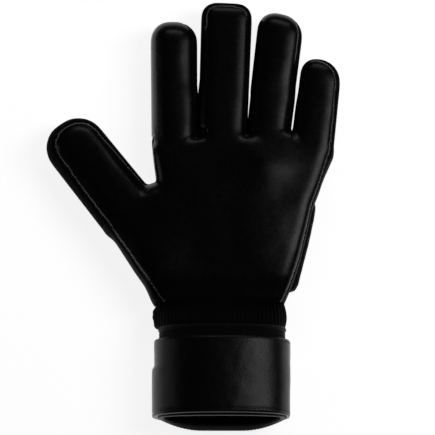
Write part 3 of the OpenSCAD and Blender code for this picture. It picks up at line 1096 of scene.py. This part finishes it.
def strap_swell(share, y, height):
    """The strap is fullest along its middle and thins to a pressed hem."""
    hem = 0.4 * math.exp(-((y - STRAP_FROM - ROW_LOWER) / 0.6) ** 2)
    soft = 0.35 * noise.noise(Vector((share * 9, y / 22, 7.7)))
    soft += 0.1 * noise.noise(Vector((share * 40, y / 6, 2.2)))
    bulge = BULGE_HIGH * math.exp(-((share - 0.5) / 0.05) ** 2) * float(smoothstep((BULGE_Y - y) / 3))
    return soft - hem + bulge if height > (STRAP_LOW + STRAP_HIGH) / 2 else 0


def make_strap():
    """The wide strap round the bandage, with its two rows of stitches."""
    profile = rounded_profile(STRAP_FROM, STRAP_TO, STRAP_LOW, STRAP_HIGH, 44, 1.2)
    bm = band_mesh(profile, 260, cuff_section, STRAP_SHARES, strap_swell)
    piece = to_object(bm, "strap_wrap_band")
    dress(piece, STRAP, "strap", "strap_wrap")
    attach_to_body(piece, "cuff")
    rows = []
    for y in (STRAP_FROM + ROW_LOWER, STRAP_TO - ROW_UPPER):
        rows += stitch_row(y, STRAP_HIGH - 0.15, *STRAP_STITCH, STRAP_SHARES, bent=False)
    threads = thread_piece("strap_stitches", rows, STITCH_RADIUS)
    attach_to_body(dress(threads, THREAD, "strap"), "cuff")


def grid_cuts(bm, low, size, cuts):
    """Cuts a mesh into a grid across X and Y."""
    for axis, count in enumerate(cuts):
        for n in range(1, count):
            place, normal = Vector((0, 0, 0)), Vector((0, 0, 0))
            place[axis] = low[axis] + size[axis] * n / count
            normal[axis] = 1
            whole = bm.verts[:] + bm.edges[:] + bm.faces[:]
            bmesh.ops.bisect_plane(bm, geom=whole, dist=1e-5, plane_co=place, plane_no=normal)


def flat_pad(low, high, radius, cuts):
    """A thin slab between two corners with rounded rims, cut into a grid."""
    bm = bmesh.new()
    bmesh.ops.create_cube(bm, size=1)
    size = [h - l for l, h in zip(low, high)]
    middle = [(h + l) / 2 for l, h in zip(low, high)]
    bmesh.ops.scale(bm, vec=size, verts=bm.verts[:])
    bmesh.ops.translate(bm, vec=middle, verts=bm.verts[:])
    grid_cuts(bm, low, size, cuts)
    rims = [e for e in bm.edges if len(e.link_faces) == 2 and e.calc_face_angle() > 1]
    bmesh.ops.bevel(bm, geom=rims, offset=radius, segments=3, profile=0.5, affect="EDGES", material=-1)
    return bm


# The grip tab's ribs: their height and pitch
RIB_HIGH, RIB_PITCH = 0.25, 2.4


def make_strap_end():
    """The strap's free end: a flap closed under the cuff, its hook patch and its grip tab."""
    low, high = (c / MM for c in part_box("strap_flap"))
    bm = flat_pad(low, high, 0.5, (24, 12))
    for v in bm.verts:
        v.co.z += 0.15 * noise.noise(v.co / 8)
    piece = to_object(bm, "strap_free_end")
    dress(piece, STRAP, "strap", "strap_flap")
    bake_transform(piece)
    for cad_node, made, slot_name, body in (("hook_patch", HOOK, "hook", "strap_end"),
                                            ("loop_patch", LOOP, "loop", "cuff")):
        low, high = (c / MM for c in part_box(cad_node))
        bm = flat_pad(low, high, 0.3, (40, 50))
        sign = 1 if cad_node == "hook_patch" else -1
        for v in bm.verts:
            if (v.co.z - (low.z + high.z) / 2) * sign > 0:
                v.co.z += sign * 0.12 * abs(noise.noise(v.co * 1.7))
        piece = to_object(bm, cad_node + "_tape")
        dress(piece, made, slot_name, cad_node)
        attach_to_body(piece, body)
    low, high = (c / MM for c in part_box("pull_tab"))
    bm = flat_pad(low, high, 0.3, (20, 8))
    for v in bm.verts:
        if v.co.z < (low.z + high.z) / 2:
            v.co.z -= RIB_HIGH * max(0, math.sin((v.co.x - low.x) * 2 * math.pi / RIB_PITCH))
    piece = to_object(bm, "grip_tab")
    dress(piece, TAB, "tab", "pull_tab")
    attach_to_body(piece, "strap_end")


def wrist_section(y):
    """Runs from the hand's wrist opening to the cuff's outline."""
    share = float(smoothstep((WRIST_Y - y) / (WRIST_Y - CUFF_TOP)))
    across = WRIST_ACROSS + (ELASTIC_ACROSS - WRIST_ACROSS) * share
    high = WRIST_HIGH + (ELASTIC_HIGH - WRIST_HIGH) * share
    middle = WRIST_MIDDLE + (CUFF_MID - WRIST_MIDDLE) * share
    return across, high, middle


def make_elastic():
    """Gathered band between the hand and the cuff."""
    y_from, y_to = CUFF_TOP - 1.5, WRIST_Y + 3
    profile = rounded_profile(y_from, y_to, -1.6, 0.6, 22, 0.8)

    def wobble(share, y, height):
        run = (y - y_from) / (y_to - y_from)
        belly = math.sin(math.pi * min(max(run, 0), 1))
        phase = 2 * noise.noise(Vector((share * 14, y / 16, 1.3)))
        fold = math.sin(2 * math.pi * GATHERS * share + phase)
        uneven = 0.6 + 0.5 * noise.noise(Vector((share * 30, 5.5, 2.2)))
        side = math.exp(-((share - 0.5) / 0.035) ** 2)
        ruffle = side * (2.9 + 1.6 * noise.noise(Vector((share * 60, y / 4, 9.1))))
        return belly * (0.7 * uneven * fold + 1.3) + ruffle * float(smoothstep(3 * belly))

    bm = band_mesh(profile, 8 * GATHERS, wrist_section, wobble=wobble)
    piece = to_object(bm, "gathered_elastic")
    dress(piece, RIB, "elastic", "elastic_band")
    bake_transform(piece)


# ---------------------------------------------------------------- linings and backhand pads

def make_lining():
    """Brushed linings under the palm and inside the back of the hand."""
    for cad_node in ("palm_lining", "backhand_lining"):
        source = frame["nodes"][cad_node]
        bm = bmesh.new()
        bm.from_mesh(source.data)
        for v in bm.verts:
            v.co /= MM
        bmesh.ops.remove_doubles(bm, verts=bm.verts[:], dist=1e-3)
        bmesh.ops.dissolve_limit(bm, angle_limit=0.02, verts=bm.verts[:], edges=bm.edges[:])
        low, high = (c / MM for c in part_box(cad_node))
        size = high - low
        grid_cuts(bm, low, size, (int(size.x / LINING_CELL), int(size.y / LINING_CELL)))
        bmesh.ops.triangulate(bm, faces=bm.faces[:])
        for v in bm.verts:
            v.co.z += LINING_WAVE * noise.noise(Vector((v.co.x, v.co.y, 0)) / 9)
        piece = to_object(bm, cad_node + "_cloth")
        dress(piece, LINING, "lining", cad_node)
        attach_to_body(piece, "hand")


def puffed(piece):
    """Blows a foam block up a little as cloth, held where it lies on the ground, and smooths it."""
    remesh = piece.modifiers.new("remesh", "REMESH")
    remesh.mode = "VOXEL"
    remesh.voxel_size = PAD_VOXEL * MM
    rounded = piece.modifiers.new("rounded", "SMOOTH")
    rounded.factor, rounded.iterations = 0.5, 3
    applied(piece)
    start = coords(piece.data)
    held = piece.vertex_groups.new(name="held")
    held.add([n for n, co in enumerate(start) if co[2] < PAD_HELD * MM], 1.0, "REPLACE")
    cloth = piece.modifiers.new("cloth", "CLOTH")
    cloth.settings.vertex_group_mass = "held"
    cloth.settings.use_pressure = True
    cloth.settings.uniform_pressure_force = PAD_PRESSURE
    cloth.settings.effector_weights.gravity = 0
    cloth.point_cache.frame_start, cloth.point_cache.frame_end = 1, SIM_FRAMES
    for n in range(1, SIM_FRAMES + 1):
        bpy.context.scene.frame_set(n)
    applied(piece)
    moved = coords(piece.data) - start
    far = np.linalg.norm(moved, axis=1, keepdims=True)
    moved *= np.minimum(1, PAD_SWELL * MM / np.maximum(far, 1e-9))
    piece.data.vertices.foreach_set("co", (start + moved).ravel())
    bpy.context.scene.frame_set(1)
    piece.vertex_groups.clear()
    finer = piece.modifiers.new("finer", "SUBSURF")
    finer.levels = finer.render_levels = 1
    applied(piece)
    shade_smooth(piece.data)
    return piece


def make_pads():
    """Raised foam blocks of the backhand, which the glove lies on."""
    blocks = (("knuckle_pad", "knuckle_block", KNUCKLE_BLOCK), ("backhand_pad", "backhand_block", BACK_BLOCK))
    for cad_node, name, outline in blocks:
        bm = bmesh.new()
        add_block(bm, outline, 0, PAD_HIGH, PAD_EDGE, [(n, PAD_CORNER) for n in range(len(outline))])
        piece = puffed(to_object(bm, name))
        dress(piece, FOAM, "backhand", cad_node)
        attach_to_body(piece, "hand")


# ---------------------------------------------------------------- studio

def make_stage():
    """A plain pale floor, lit from within so that it stays white."""
    bm = bmesh.new()
    bmesh.ops.create_grid(bm, x_segments=2, y_segments=2, size=3000)
    floor = to_object(bm, "floor")
    made = bpy.data.materials.new("white_floor")
    made.use_nodes = True
    shader = made.node_tree.nodes["Principled BSDF"]
    shader.inputs["Base Color"].default_value = (0.85, 0.85, 0.85, 1)
    shader.inputs["Roughness"].default_value = 0.9
    shader.inputs["Specular IOR Level"].default_value = 0.1
    shader.inputs["Emission Color"].default_value = (1, 1, 1, 1)
    shader.inputs["Emission Strength"].default_value = 0.86
    floor.data.materials.append(made)


def area_light(name, place, size, power):
    """A softbox aimed at the middle of the glove."""
    light = bpy.data.lights.new(name, "AREA")
    light.shape = "RECTANGLE"
    light.size, light.size_y = size
    light.energy = power
    holder = bpy.data.objects.new(name, light)
    holder.location = place
    holder.rotation_euler = (-Vector(place)).to_track_quat("-Z", "Y").to_euler()
    bpy.context.scene.collection.objects.link(holder)


def make_studio():
    scene = bpy.context.scene
    scene.view_settings.view_transform = "Standard"
    world = bpy.data.worlds.new("studio")
    world.use_nodes = True
    world.node_tree.nodes["Background"].inputs["Color"].default_value = (1, 1, 1, 1)
    world.node_tree.nodes["Background"].inputs["Strength"].default_value = 0.015
    scene.world = world
    area_light("softbox_right", (0.75, 0.15, 1.1), (0.4, 0.8), 2.6)
    area_light("softbox_left", (-1.15, 0.1, 0.4), (0.14, 1.0), 0.5)
    area_light("softbox_top", (0.1, 1.0, 0.9), (0.8, 0.25), 0.9)


# Half the picture's side, in millimetres, and the point the view is centred on
VIEW_HALF = 141.375
VIEW_LENS = 500.0
VIEW_ELEVATION = 80.0
VIEW_CENTRE = Vector((-2.6, 7.7, 18.0))


def make_camera():
    lens = bpy.data.cameras.new("view")
    lens.lens = VIEW_LENS
    lens.sensor_width = 36
    lens.clip_start, lens.clip_end = 0.1, 30
    distance = VIEW_LENS * 2 * VIEW_HALF * MM / lens.sensor_width
    tilt = math.radians(VIEW_ELEVATION)
    holder = bpy.data.objects.new("view", lens)
    centre = VIEW_CENTRE * MM
    holder.location = centre + Vector((0, -math.cos(tilt), math.sin(tilt))) * distance
    holder.rotation_euler = (math.radians(90) - tilt, 0, 0)
    bpy.context.scene.collection.objects.link(holder)
    bpy.context.scene.camera = holder


make_camera()
make_studio()
make_stage()
make_skin()
make_bandage()
make_binding("cuff_top_tape", CUFF_TOP - BINDING_WIDE, CUFF_TOP, "top_binding")
make_binding("cuff_bottom_tape", CUFF_END, CUFF_END + BINDING_WIDE, "bottom_binding")
make_cuff_stitches()
make_strap()
make_strap_end()
make_elastic()
make_lining()
make_pads()
